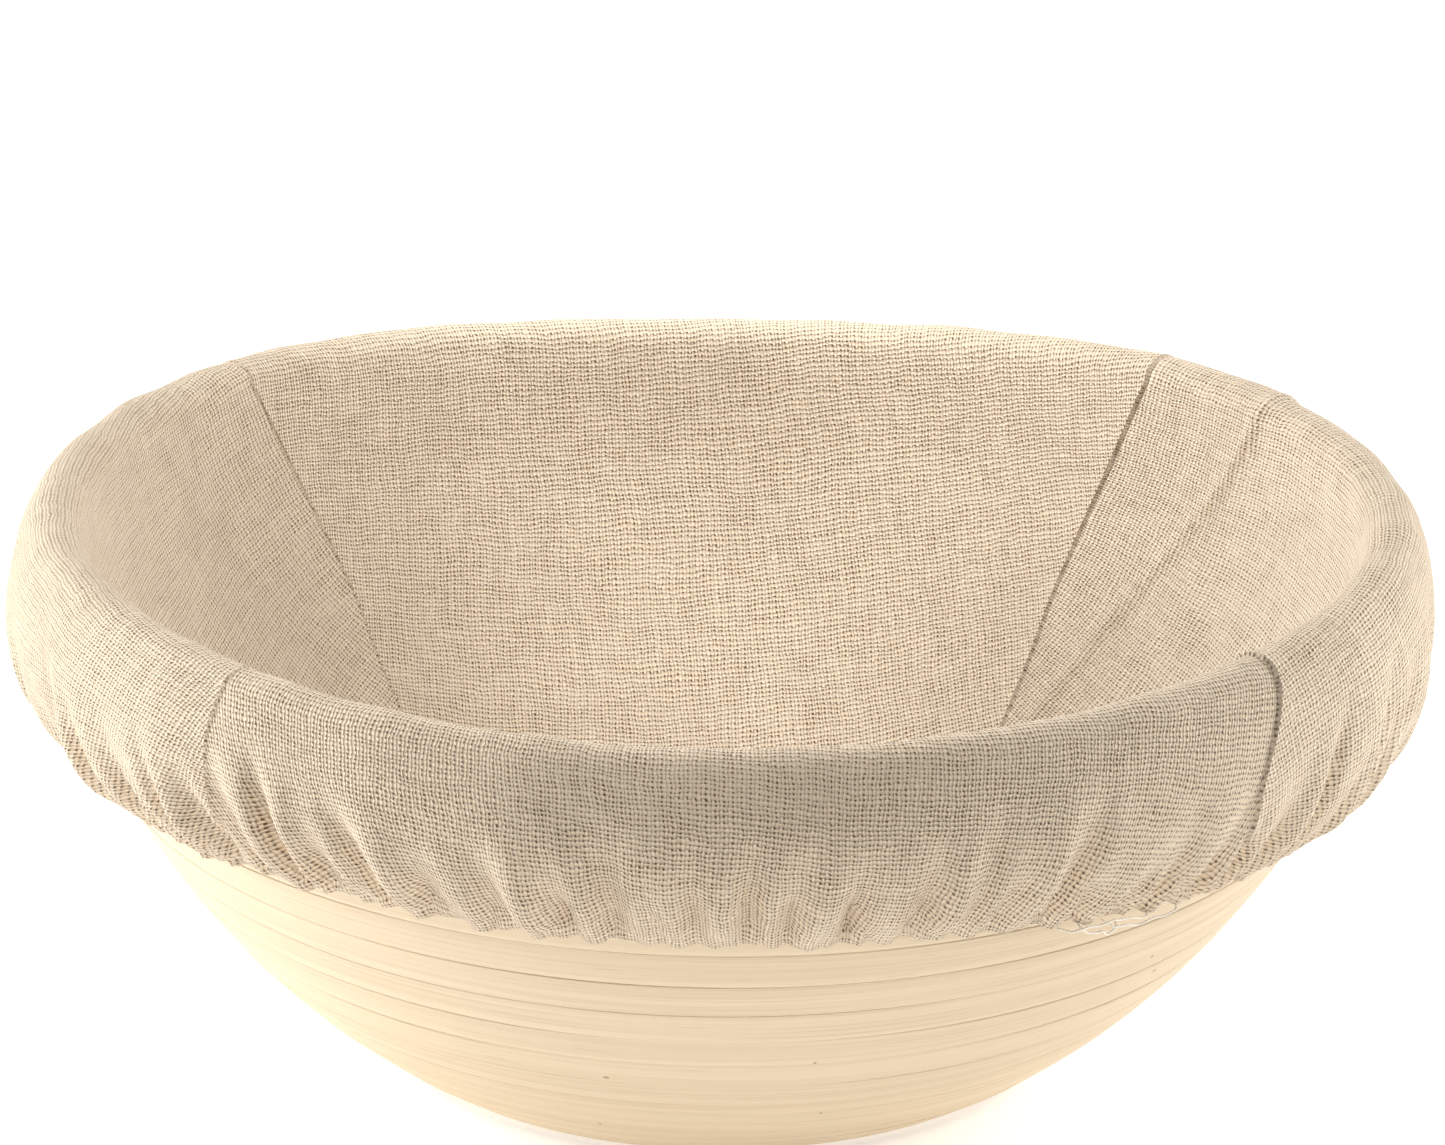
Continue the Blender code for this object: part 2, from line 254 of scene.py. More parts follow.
def join_xyz(tree, x, y, z=0.0):
    node = tree.nodes.new("ShaderNodeCombineXYZ")
    for socket, value in zip(node.inputs, (x, y, z)):
        feed(tree, socket, value)
    return node.outputs[0]


def split_xyz(tree, vector):
    node = tree.nodes.new("ShaderNodeSeparateXYZ")
    feed(tree, node.inputs[0], vector)
    return node.outputs


def mix_color(tree, share, first, second, blend="MIX"):
    """The first colour at share 0 and the second at share 1, or another blend of them."""
    node = tree.nodes.new("ShaderNodeMix")
    node.data_type = "RGBA"
    node.blend_type = blend
    colors = [s for s in node.inputs if s.type == "RGBA"]
    feed(tree, node.inputs[0], share)
    feed(tree, colors[0], first)
    feed(tree, colors[1], second)
    return [s for s in node.outputs if s.type == "RGBA"][0]


def use_group(tree, group, **values):
    """Node group placed in a material; an underscore in a name stands for a space."""
    node = tree.nodes.new("ShaderNodeGroup")
    node.node_tree = group
    for label, value in values.items():
        feed(tree, node.inputs[label.replace("_", " ")], value)
    return node.outputs


def new_material(name):
    made = bpy.data.materials.new(name)
    made.use_nodes = True
    return made, made.node_tree, made.node_tree.nodes["Principled BSDF"]


def bump(tree, height, distance, strength=1.0):
    node = tree.nodes.new("ShaderNodeBump")
    node.inputs["Strength"].default_value = strength
    node.inputs["Distance"].default_value = distance
    feed(tree, node.inputs["Height"], height)
    return node.outputs[0]


def uv_of(tree):
    return tree.nodes.new("ShaderNodeUVMap").outputs[0]


def attribute_of(tree, name):
    node = tree.nodes.new("ShaderNodeAttribute")
    node.attribute_name = name
    return node.outputs["Fac"]


# Linen

# The yarn's colour runs from painted shade where a thread lies low to a painted highlight on its crown.
YARN_LOW_PAINTED_SHADE = (0.51, 0.40, 0.276, 1.0)
YARN_CROWN_PAINTED_HIGHLIGHT = (0.955, 0.80, 0.615, 1.0)
YARN_CLOUD = (0.78, 0.64, 0.485, 1.0)
YARN_PALE = (0.84, 0.75, 0.62, 1.0)
GAP_PAINTED_SHADE = (0.15, 0.093, 0.046, 1.0)  # painted shade between the threads
SEAM_PAINTED_SHADOW = (0.30, 0.225, 0.15, 1.0)
UNBACKED_PAINTED_SHADE = (0.885, 0.855, 0.80, 1.0)  # painted shade over the cloth that has nothing pale behind it
THREAD_LIFT = 0.00023  # height of a thread in the bump


def thread_index_noise(tree, index, along, seed):
    """Noise that changes from thread to thread, and slowly along each thread."""
    vector = join_xyz(tree, maths(tree, "MULTIPLY", index, 7.31), along, seed)
    return noise(tree, vector, 1.0, 1.0)


def plain_weave_group():
    """Plain weave in thread units: each thread is a half-round that goes over and under in turn.

    Warp threads are numbered by Across and weft threads by Up. Each has its own width and bends a
    little from side to side.
    """
    group, given, result = new_group(
        "plain_weave",
        [("Across", "NodeSocketFloat", 0.0), ("Up", "NodeSocketFloat", 0.0)],
        [("Height", "NodeSocketFloat"), ("Gap", "NodeSocketFloat"), ("Tone", "NodeSocketFloat")],
    )

    def odd(index):
        """1 for an odd thread and -1 for an even one."""
        rest = maths(group, "MODULO", maths(group, "ABSOLUTE", index), 2.0)
        return maths(group, "MULTIPLY_ADD", rest, 2.0, -1.0)

    def from_middle(place):
        """-1 to 1 across the room that a thread has."""
        return maths(group, "MULTIPLY_ADD", maths(group, "FRACT", place), 2.0, -1.0)

    def bend(place):
        """Half a sine for each thread crossed."""
        return maths(group, "SINE", maths(group, "MULTIPLY", place, math.pi))

    def round_top(offset, width):
        """Half circle: the root of one less the square of offset over width."""
        share = maths(group, "DIVIDE", offset, width)
        square = maths(group, "MULTIPLY", share, share)
        return maths(group, "SQRT", maths(group, "SUBTRACT", 1.0, square, clamp=True))

    def swing(offset):
        """Quarter cosine either side of the thread that is crossed."""
        return maths(group, "COSINE", maths(group, "MULTIPLY", offset, math.pi / 2))

    def only_on(top, height):
        """Height where the thread is, and 0 beside it."""
        return maths(group, "MULTIPLY", height, maths(group, "GREATER_THAN", top, 0.01))

    def beside(offset, width):
        """0 on a thread and 1 beside it."""
        past = maths(group, "SUBTRACT", maths(group, "ABSOLUTE", offset), width)
        return smooth_step(group, past, -0.16, 0.14)

    across, up = given.outputs["Across"], given.outputs["Up"]
    warp, weft = maths(group, "FLOOR", across), maths(group, "FLOOR", up)
    odd_warp = odd(warp)
    warp_noise = thread_index_noise(group, warp, maths(group, "MULTIPLY", up, 0.11), 3.0)
    weft_noise = thread_index_noise(group, weft, maths(group, "MULTIPLY", across, 0.09), 11.0)
    straight = from_middle(across)
    bent_warp = maths(group, "MULTIPLY_ADD", bend(up), 0.14, straight)
    warp_off = maths(group, "MULTIPLY_ADD", odd_warp, 0.15, bent_warp)  # warp threads lie in loose pairs
    weft_off = maths(group, "MULTIPLY_ADD", bend(across), 0.12, from_middle(up))
    warp_width = maths(group, "MULTIPLY_ADD", warp_noise, 0.80, 0.39)
    weft_width = maths(group, "MULTIPLY_ADD", weft_noise, 0.80, 0.35)
    warp_top = round_top(warp_off, warp_width)
    weft_top = round_top(weft_off, weft_width)
    rise = maths(group, "MULTIPLY", maths(group, "MULTIPLY", odd_warp, odd(weft)), 0.55)
    fall = maths(group, "MULTIPLY", rise, -1.0)
    warp_height = only_on(warp_top, maths(group, "MULTIPLY_ADD", rise, swing(weft_off), warp_top))
    weft_height = only_on(weft_top, maths(group, "MULTIPLY_ADD", fall, swing(straight), weft_top))
    gap = maths(group, "MULTIPLY", beside(warp_off, warp_width), beside(weft_off, weft_width))
    group.links.new(maths(group, "MAXIMUM", warp_height, weft_height), result.inputs["Height"])
    group.links.new(gap, result.inputs["Gap"])
    group.links.new(maths(group, "ADD", warp_noise, weft_noise), result.inputs["Tone"])
    return group


def linen_material(weave):
    """Unbleached linen: weave on the cloth's own coordinates, slubs, open gaps painted dark as shade, a painted
    highlight on the thread crowns with painted shade where they lie low, and soft bloom.

    The attribute "backed" is 1 where the cloth lies on pale cane; off the cane its colour is darkened as painted
    shade. "seam_shadow" draws the seams' painted shadow lines.
    """
    made, tree, shader = new_material("liner_linen")
    uv = uv_of(tree)
    x, y, _ = split_xyz(tree, uv)
    x = maths(tree, "MULTIPLY_ADD", noise(tree, uv, 34.0, 3.0), 0.0034, x)
    y = maths(tree, "MULTIPLY_ADD", noise(tree, uv, 42.0, 3.0), 0.0036, y)
    wobble = split_xyz(tree, noise_vector(tree, uv, 420.0))
    x = maths(tree, "MULTIPLY_ADD", wobble[0], 0.00062, x)
    y = maths(tree, "MULTIPLY_ADD", wobble[1], 0.00080, y)
    threads = use_group(
        tree,
        weave,
        Across=maths(tree, "DIVIDE", x, WARP),
        Up=maths(tree, "DIVIDE", y, WEFT),
    )
    # Painted shade and highlight: darker where the weave lies low, lighter on the thread crowns.
    color = mix_color(tree, smooth_step(tree, threads["Height"], 0.30, 1.35), YARN_LOW_PAINTED_SHADE, YARN_CROWN_PAINTED_HIGHLIGHT)
    cloudy = smooth_step(tree, noise(tree, uv, 22.0, 3.0), 0.3, 0.7)
    color = mix_color(tree, maths(tree, "MULTIPLY", cloudy, 0.3), color, YARN_CLOUD)
    tone = smooth_step(tree, threads["Tone"], 0.7, 1.3)
    color = mix_color(tree, maths(tree, "MULTIPLY", tone, 0.25), color, YARN_PALE)
    # Painted shade: the gaps between the threads are darkened, more where the cloth is more open.
    openness = maths(tree, "MULTIPLY", noise(tree, uv, 160.0, 3.0, 0.6), 3.0)
    gap = maths(tree, "MULTIPLY", threads["Gap"], openness, clamp=True)
    color = mix_color(tree, gap, color, GAP_PAINTED_SHADE)
    # Painted shade: the cloth off the cane, on the skirt and hem, is darkened.
    unbacked_painted_shade = mix_color(tree, 1.0, color, UNBACKED_PAINTED_SHADE, "MULTIPLY")
    color = mix_color(tree, attribute_of(tree, "backed"), unbacked_painted_shade, color)
    # Painted shadow along the seams.
    color = mix_color(tree, attribute_of(tree, "seam_shadow"), color, SEAM_PAINTED_SHADOW)
    tree.links.new(color, shader.inputs["Base Color"])
    shader.inputs["Roughness"].default_value = 0.92
    shader.inputs["Specular IOR Level"].default_value = 0.2
    shader.inputs["Sheen Weight"].default_value = 0.25
    shader.inputs["Sheen Roughness"].default_value = 0.6
    tree.links.new(bump(tree, threads["Height"], THREAD_LIFT, 1.0), shader.inputs["Normal"])
    return made


def twisted_material(name, pitch, top, dark, light, roughness):
    """Cord of fine lines that slant round it: the sine of its length at a pitch plus its turn."""
    made, tree, shader = new_material(name)
    x, y, _ = split_xyz(tree, uv_of(tree))
    twist = maths(tree, "SINE", maths(tree, "MULTIPLY_ADD", x, pitch, maths(tree, "MULTIPLY", y, TAU)))
    color = mix_color(tree, smooth_step(tree, twist, -1.0, top), dark, light)
    tree.links.new(color, shader.inputs["Base Color"])
    shader.inputs["Roughness"].default_value = roughness
    return made, tree, shader, twist


def thread_material():
    """Pale twisted sewing thread."""
    return twisted_material("sewing_thread", 9000.0, 0.6, (0.80, 0.72, 0.60, 1), (0.98, 0.94, 0.86, 1), 0.8)[0]


def elastic_material():
    """Cotton-covered elastic with ribs that can be felt."""
    made, tree, shader, rib = twisted_material(
        "covered_elastic", 6000.0, 0.5, (0.70, 0.68, 0.62, 1), (0.90, 0.88, 0.83, 1), 0.75
    )
    tree.links.new(bump(tree, rib, 0.0001, 0.5), shader.inputs["Normal"])
    return made


# Cane and wire

CANE_DULL = (0.70, 0.565, 0.39, 1)
CANE_PALE = (0.76, 0.63, 0.445, 1)
CANE_STREAK = (0.56, 0.43, 0.27, 1)
CANE_FLECK = (0.55, 0.38, 0.22, 1)
CANE_MARK = (0.26, 0.19, 0.13, 1)
MARK_HALF_WIDTH = 0.0004
MARK_GIRTH = 0.18  # a mark's half length over this is its half width in azimuth
CANE_MARKS = (  # azimuth in degrees, height and half length in metres of each dark dash
    (258, 0.0252, 0.0014),
    (254, 0.0100, 0.0010),
    (280, 0.0300, 0.0008),
    (283, 0.0152, 0.0007),
    (320, 0.0352, 0.0012),
    (317, 0.0400, 0.0009),
)


def cane_grain_group():
    """Grain along a cane from its length and girth coordinates, in metres."""
    group, given, result = new_group(
        "cane_grain",
        [("Length", "NodeSocketFloat", 0.0), ("Girth", "NodeSocketFloat", 0.0)],
        [("Fine", "NodeSocketFloat"), ("Broad", "NodeSocketFloat"), ("Flecks", "NodeSocketFloat")],
    )
    length, girth = given.outputs["Length"], given.outputs["Girth"]

    def drawn_out(along, across, *settings):
        """Noise with one scale along the cane and another across it."""
        vector = join_xyz(group, maths(group, "MULTIPLY", length, along), maths(group, "MULTIPLY", girth, across))
        return noise(group, vector, 1.0, *settings)

    group.links.new(drawn_out(14.0, 2600.0, 4.0, 0.6), result.inputs["Fine"])
    group.links.new(drawn_out(5.0, 420.0, 3.0), result.inputs["Broad"])
    group.links.new(smooth_step(group, drawn_out(90.0, 1500.0, 2.0), 0.66, 0.74), result.inputs["Flecks"])
    return group


def cane_marks(tree):
    """Small dark dashes at their places on the wall: an ellipse along the cane for each."""
    x, y, z = split_xyz(tree, tree.nodes.new("ShaderNodeTexCoord").outputs["Object"])
    angle = maths(tree, "ARCTAN2", y, x)
    total = 0.0
    for azimuth, height, length in CANE_MARKS:
        turned = maths(tree, "SUBTRACT", angle, math.radians(azimuth - 360))
        across = maths(tree, "DIVIDE", turned, length / MARK_GIRTH)
        up = maths(tree, "DIVIDE", maths(tree, "SUBTRACT", z, height), MARK_HALF_WIDTH)
        away = maths(tree, "MULTIPLY_ADD", across, across, maths(tree, "MULTIPLY", up, up))
        total = maths(tree, "ADD", total, smooth_step(tree, away, 1.0, 0.0))
    return total


def cane_material(grain):
    """Peeled cane: pale, dry, with fine pores along it and a few darker streaks, flecks and marks."""
    made, tree, shader = new_material("peeled_cane_wood")
    x, y, _ = split_xyz(tree, uv_of(tree))
    pores = use_group(tree, grain, Length=x, Girth=y)
    color = mix_color(tree, smooth_step(tree, pores["Broad"], 0.3, 0.7), CANE_DULL, CANE_PALE)
    streaks = maths(tree, "MULTIPLY", smooth_step(tree, pores["Fine"], 0.50, 0.68), 0.5)
    color = mix_color(tree, streaks, color, CANE_STREAK)
    color = mix_color(tree, maths(tree, "MULTIPLY", pores["Flecks"], 0.35), color, CANE_FLECK)
    color = mix_color(tree, maths(tree, "MULTIPLY", cane_marks(tree), 0.8, clamp=True), color, CANE_MARK)
    tree.links.new(color, shader.inputs["Base Color"])
    tree.links.new(maths(tree, "MULTIPLY_ADD", pores["Fine"], 0.25, 0.42), shader.inputs["Roughness"])
    tree.links.new(bump(tree, pores["Fine"], 0.00012, 0.5), shader.inputs["Normal"])
    return made


def wire_material():
    """Drawn steel wire with a faint brownish bloom."""
    made, tree, shader = new_material("drawn_wire")
    place = tree.nodes.new("ShaderNodeTexCoord").outputs["Object"]
    bloom = smooth_step(tree, noise(tree, place, 900.0, 3.0), 0.45, 0.75)
    color = mix_color(tree, bloom, (0.52, 0.52, 0.53, 1), (0.36, 0.27, 0.20, 1))
    tree.links.new(color, shader.inputs["Base Color"])
    shader.inputs["Metallic"].default_value = 1.0
    tree.links.new(maths(tree, "MULTIPLY_ADD", bloom, 0.3, 0.32), shader.inputs["Roughness"])
    return made


# The canes

STATIONS = 132  # in a turn
CORNER_POINTS = 4
FACE_POINTS = 2  # between two corners
FACE_CROWN = 0.00005  # how much the middle of a face stands out
CORNER = 0.00024  # radius of the corners
RIM_CORNER = 0.0020  # radius of the corners of the top turns, which the cloth rounds
TURN_FILL = 0.9985  # share of the pitch that a cane fills
RIM_END = 0.16  # share of the thickness left at the tapered end
SPLICE = 0.0004  # gap between the ends of two canes, where the coil is SPLICE_RADIUS wide
SPLICE_RADIUS = 0.08
SPLICE_BACK = 0.025  # a cane ends this part of a turn before a whole one
CANE_NAMES = ("floor_cane", "heel_cane", "lower_wall_cane", "middle_wall_cane", "upper_wall_cane", "rim_cane")
DRIFT = 0.00005  # how far a cane wanders in and out
TWIST = 0.012  # how far it turns about itself, in radians
END_DEPTH = 0.35  # share of the depth left at the end of a cane that has tapered to nothing


def coil(turn):
    """Angle, length along the meridian and thickness share at places along the coil, in turns."""
    whole = np.floor(turn)
    part = turn - whole
    gained = climb(part)
    along = COIL_START + PITCH * (whole + gained)
    thickness = np.ones_like(along)
    ending = whole >= TURNS
    thickness[ending] = 1 - gained[ending]
    along[ending] = RIM_AT + PITCH / 2 * gained[ending]
    return TAU * part, along, thickness


def coil_end():
    """Turn at which the tapered end is as thin as RIM_END."""
    places = TURNS + np.linspace(0, 0.5, 501)
    return float(places[coil(places)[2] > RIM_END][-1])


def cane_section(half, corner):
    """Rounded square with slightly crowned faces: its sides outward and upward for each corner radius."""
    out, up = [], []
    for k in range(4):
        for bend in np.linspace(-math.pi / 4, math.pi / 4, CORNER_POINTS) + math.pi / 4 + k * math.pi / 2:
            side_out = math.copysign(1, math.cos(math.pi / 4 + k * math.pi / 2))
            side_up = math.copysign(1, math.sin(math.pi / 4 + k * math.pi / 2))
            out.append(side_out * (half - corner) + corner * math.cos(bend))
            up.append(side_up * (half - corner) + corner * math.sin(bend))
        turn = (k + 1) * math.pi / 2
        for share in np.linspace(1, -1, FACE_POINTS + 2)[1:-1]:
            along = share * (half - corner)
            away = half + FACE_CROWN * (1 - share * share)
            out.append(away * math.cos(turn) + along * math.sin(turn))
            up.append(away * math.sin(turn) - along * math.cos(turn))
    return np.stack(out, axis=-1), np.stack(up, axis=-1)


def cane_mesh(name, first, last):
    """Section carried along the coil from one turn to another, with both ends closed.

    The section is turned to the meridian's slope. It drifts a little in and out, and twists a
    little, on its way, as pressed cane does.
    """
    count = max(int((last - first) * STATIONS), 24)
    turn = np.linspace(first, last, count)
    angle, along, thickness = coil(turn)
    radius, height, slope = meridian(along)
    height = height + sway(along, angle)
    seed = sum(map(ord, name))
    travelled = np.concatenate([[0], np.cumsum(np.hypot(np.diff(radius), radius[1:] * TAU / STATIONS))])
    out_drift = DRIFT * waves(travelled, seed, 0.09)
    twist = TWIST * waves(travelled, seed + 1, 0.16)
    half = PITCH / 2 * TURN_FILL
    rounding = CORNER + (RIM_CORNER - CORNER) * ramp(turn, TURNS - 2.5, TURNS - 1)
    out, up = cane_section(half, rounding)
    section = out.shape[1]
    turned_out = out * np.cos(twist)[:, None] - up * np.sin(twist)[:, None]
    turned_up = out * np.sin(twist)[:, None] + up * np.cos(twist)[:, None]
    turned_out = (turned_out + out_drift[:, None]) * (END_DEPTH + (1 - END_DEPTH) * thickness)[:, None]
    turned_up = np.clip(turned_up, -half, half) * thickness[:, None]
    sine, cosine = np.sin(slope)[:, None], np.cos(slope)[:, None]
    ring_radius = radius[:, None] + turned_out * sine + turned_up * cosine
    ring_height = np.maximum(height[:, None] - turned_out * cosine + turned_up * sine, 0.0)
    points = np.stack(
        [ring_radius * np.cos(angle)[:, None], ring_radius * np.sin(angle)[:, None], ring_height], axis=-1
    ).reshape(-1, 3)
    faces = grid_faces(count, section, True)[:, ::-1]
    ends = [list(range(section)), [(count - 1) * section + i for i in range(section)][::-1]]
    made = put_mesh(name, points, faces.tolist() + ends)
    steps = np.hypot(np.diff(out[0], append=out[0, 0]), np.diff(up[0], append=up[0, 0]))
    girth = np.concatenate([[0], np.cumsum(steps)])
    row, column = np.meshgrid(np.arange(count - 1), np.arange(section), indexing="ij")
    u = travelled[np.stack([row, row, row + 1, row + 1], axis=-1)]
    v = girth[np.stack([column, column + 1, column + 1, column], axis=-1)] + seed % 97
    side = np.stack([u, v], axis=-1).reshape(-1, 4, 2)[:, ::-1].reshape(-1, 2)
    flat = np.stack([out[0], up[0]], axis=-1)
    put_uv(made, np.concatenate([side, flat, flat[::-1]]))
    return made


def build_canes(material):
    """One piece for each cane of the frame, spliced where the frame splices them."""
    floor_turns = int((FLOOR_RADIUS - COIL_START) / PITCH) + 1
    wall_from = floor_turns + 4
    wall_turns = TURNS - 2 - wall_from
    splices = [floor_turns, wall_from] + [wall_from + round(wall_turns * k / 3) for k in (1, 2, 3)]
    ends = [splice - SPLICE_BACK for splice in splices] + [coil_end()]
    spare = SPLICE / 2 / (TAU * SPLICE_RADIUS)
    start = 0.0
    for name, end in zip(CANE_NAMES, ends):
        made = cane_mesh(name.replace("_cane", "_turns"), start + spare, end - spare)
        made.data.materials.append(material)
        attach(made, "basket")
        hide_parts(name)
        start = end


# The liner

PANEL_COLUMNS = 262  # between two seams
CROWDING = 0.6  # how much closer the columns are beside a seam
ROWS_FLOOR = 8
ROWS_WALL = 42
ROWS_FOLD = 10
ROWS_SKIRT = 28
ROWS_HEM = 9
FLOOR_MIDDLE = 0.004  # radius of the fan that closes the floor

# The seams, each as (back right, back left, front left, front right)
SEAM_FEET = np.radians([51.6, 133.4, 225.0, 321.0])
SEAM_RIMS = np.radians([46.0, 140.5, 227.5, 319.2])
SEAM_HEMS = np.radians([46.0, 140.5, 227.0, 315.7])
PROUD_SIDES = (1, -1, -1, 1)  # the side that stands proud, 1 is towards larger azimuth
INNER_EDGES = (0.0006, 0.0003, 0.0003, 0.0005)  # height of the proud side
INNER_GROOVES = (0.0001, 0.0, 0.0, 0.0001)
INNER_FLAPS = (0.00050, 0.00012, 0.0, 0.0)  # height of the edge of the dart under the cloth
OUTER_EDGES = (0.0005, 0.0003, 0.0003, 0.0006)
OUTER_GROOVES = (0.0001, 0.0, 0.0, 0.0002)
OUTER_FLAPS = (0.00035, 0.0, 0.0, 0.0)
SEAM_SHADOWS = (0.38, 0.07, 0.0, 0.31)  # strength of the painted shadow line in the seam
SHADOW_LOW = 0.00035  # width of that line towards the low side
SHADOW_PROUD = 0.00015  # and towards the proud side
EDGE_FADE = 0.0045  # length over which the proud side falls away
GROOVE_WIDTH = 0.0010
RIDGE_WIDTH = 0.0016  # of the soft ridge over the dart's edge
DART_WIDTH = 0.031  # of the dart under the cloth at the rim

SWELL = 0.0105  # how far the skirt keeps the direction in which it leaves the rim
PULL_RADIUS = 0.1223  # last bend of the skirt before the hem
PULL_RISE = 0.0095
FOLD_OFF = 0.0046  # from the middle of the top turn to the cloth at the top of the rim
FOLD_START = math.pi / 2 + RIM_SLOPE  # where the cloth meets the rim, above level
FOLD_END = math.radians(33)  # where it leaves the rim
SWAY_DROP = 0.03  # length down from the rim whose sway the hem takes
SKIRT_LENGTH = 0.0345
SKIRT_FULLNESS = 0.10  # extra cloth in the skirt at the hem, as a share of the rim's girth
RELAXED = 1.09  # how much closer the threads lie in the slack skirt than in the taut bowl

HEM_ROLL = 0.0017  # radius of the roll of cloth round the elastic
HEM_PLACES = np.radians([0, 90, 180, 217, 240, 285, 307, 331])
HEM_LEVELS = [0.1235, 0.1270, 0.1275, 0.1290, 0.1313, 0.1310, 0.1270, 0.1228]  # lower edge, along the meridian
HEM_ROLLED = 0.62  # share of the hem's rows on the roll, the rest is turned up behind the skirt
HEM_TURN_UP = 0.0060
HEM_CLOTH = 0.0125  # cloth taken by the roll and the turn-up
HEM_DEEPEST = 0.0013  # how far in the gathers can bring the roll

# The gathers: ranges to draw each fold and each small tuck from
FOLD_WIDTHS = (0.0012, 0.0021)
FOLD_DEPTHS = (0.0018, 0.0040)
FOLD_STARTS = (0.14, 0.50)  # share of the skirt above it
FOLD_SIDES = (0.9, 1.8)  # how much wider one side is than the other
FOLD_SPACES = (0.050, 0.105)  # azimuth from one to the next
FOLD_LEAN = 0.085  # azimuth gained from the hem to the rim, halfway between the front and a side
FOLD_SWELL = 0.35  # height of the swelling beside a fold, as a share of its depth
TIGHTEST = math.radians(225)  # azimuth of the deepest folds
TUCK_WIDTHS = (0.0007, 0.0012)
TUCK_DEPTHS = (0.0007, 0.0016)
TUCK_STARTS = (0.62, 0.84)
TUCK_SPACES = (0.028, 0.058)
DEEPEST = 0.0044
GATHER_TILT = 0.5  # radians below level in which the gathers move the hem


def rim_length(turn):
    """Length at the rim of a turn, taken the short way round."""
    return np.angle(np.exp(1j * turn)) * RIM_RADIUS


def cloth_off(along):
    """Distance from the meridian to the cloth inside, which closes up to the fold's over the rim."""
    return CLOTH_OFF + (FOLD_OFF - CLOTH_OFF) * ramp(along, RIM_AT - 0.024, RIM_AT + 0.004)


def rim_unevenness(angle):
    """How unevenly the cloth lies on the top turn."""
    return 0.00018 * ring_waves(angle, 9, 7, 40)


def seam_angle(k, along):
    """Azimuth of seam k, which drifts over the upper wall to its place at the rim."""
    share = np.clip((along - RIM_AT) / 0.045 + 1, 0.0, 1.0) ** 1.5
    return SEAM_FEET[k] + (SEAM_RIMS[k] - SEAM_FEET[k]) * share


def skirt_seam(k, share):
    """Azimuth of seam k on the skirt, from the rim to the hem."""
    return SEAM_RIMS[k] + (SEAM_HEMS[k] - SEAM_RIMS[k]) * ramp(share, 0.0, 0.5)


def hem_at(angle):
    """Length along the meridian of the middle of the hem's roll."""
    lower_edge = np.interp(angle, HEM_PLACES, HEM_LEVELS, period=TAU)
    return lower_edge + HEM_ROLL + 0.0004 * ring_waves(angle, 5, 4, 15)


def skirt_line(share, angle):
    """Radius and height of the smooth skirt: a cubic from the rim's fold to the hem's roll."""
    hem_radius, hem_height, slope = meridian(hem_at(angle), CLOTH_OFF + HEM_ROLL)
    end = (hem_radius + HEM_ROLL * np.sin(slope), hem_height - HEM_ROLL * np.cos(slope))
    start = (RIM_RADIUS + FOLD_OFF * math.cos(FOLD_END), RIM_HEIGHT + FOLD_OFF * math.sin(FOLD_END))
    swell = (start[0] + SWELL * math.sin(FOLD_END), start[1] - SWELL * math.cos(FOLD_END))
    pull = (PULL_RADIUS, end[1] + PULL_RISE)
    keep = 1 - share
    weights = (keep**3, 3 * keep**2 * share, 3 * keep * share**2, share**3)
    points = (start, swell, pull, end)
    return tuple(sum(weight * point[axis] for weight, point in zip(weights, points)) for axis in (0, 1))


def crease(away, width, steep):
    """Bell across a crease, wider by steep on one side."""
    return np.exp(-((away / np.where(away > 0, width, width * steep)) ** 2))


def gathers(share, angle):
    """How far the elastic's gathers move the skirt out, from folds that start part of the way down.

    Folds lean towards the front and the back and flatten where the elastic holds the hem. Between
    them the cloth swells. Small tucks follow close to the hem.
    """
    draw = np.random.default_rng(21)
    moved = 0.0004 * ring_waves(angle, 31, 9, 34) * ramp(share, 0.05, 0.4)
    place = 0.0
    while place < TAU:
        tight = 0.5 + 0.5 * math.cos(place - TIGHTEST)
        width = draw.uniform(*FOLD_WIDTHS)
        lean = FOLD_LEAN * math.sin(2 * (place - 1.5 * math.pi)) + draw.normal(0.0, 0.012)
        start = draw.uniform(*FOLD_STARTS)
        depth = draw.uniform(*FOLD_DEPTHS) * (0.6 + 0.4 * tight)
        away = rim_length(angle - place - lean * (1 - share))
        width = width * (1.7 - 0.7 * share)
        grown = ramp(share, start, start + 0.5)
        moved -= depth * grown * crease(away, width, draw.uniform(*FOLD_SIDES))
        beside = away + draw.choice([-1, 1]) * 2.3 * width
        moved += FOLD_SWELL * depth * grown * crease(beside, width * 1.2, 1.3)
        place += draw.uniform(*FOLD_SPACES)
    moved = np.maximum(moved, -DEEPEST) * (1 - 0.6 * ramp(share, 0.86, 1.0))
    place = 0.0
    while place < TAU:
        away = rim_length(angle - place - draw.normal(0.0, 0.05) * (1 - share))
        start = draw.uniform(*TUCK_STARTS)
        depth = draw.uniform(*TUCK_DEPTHS)
        moved -= depth * ramp(share, start, start + 0.16) * crease(away, draw.uniform(*TUCK_WIDTHS), 1.4)
        place += draw.uniform(*TUCK_SPACES)
    return np.maximum(moved, -DEEPEST)


def seam_relief(along, angle, seams, edges, grooves, flaps):
    """Height of the cloth near the four seams, towards the side that shows.

    One side of each seam stands proud and falls away from it, the other starts in a groove, and the
    dart's flap lies under it as far as a soft ridge.
    """
    relief = np.zeros_like(along * angle)
    grown = ramp(along, FLOOR_RADIUS + 0.004, FLOOR_RADIUS + 0.060)
    for seam, proud, edge, groove, flap_height in zip(seams, PROUD_SIDES, edges, grooves, flaps):
        side = rim_length(angle - seam) * proud
        flap = DART_WIDTH * ramp(along, FLOOR_RADIUS, RIM_AT) ** 1.5
        relief += grown * edge * np.exp(-np.maximum(side, 0) / EDGE_FADE) * (side >= 0)
        relief -= grown * groove * np.exp(-((side / GROOVE_WIDTH) ** 2)) * (side < 0)
        relief += grown * flap_height * np.exp(-(((side + flap) / RIDGE_WIDTH) ** 2)) * (side < 0)
        relief += grown * flap_height * 0.75 * (side < -0.0008) * ramp(side, -flap - 0.001, -flap + 0.001)
    return relief


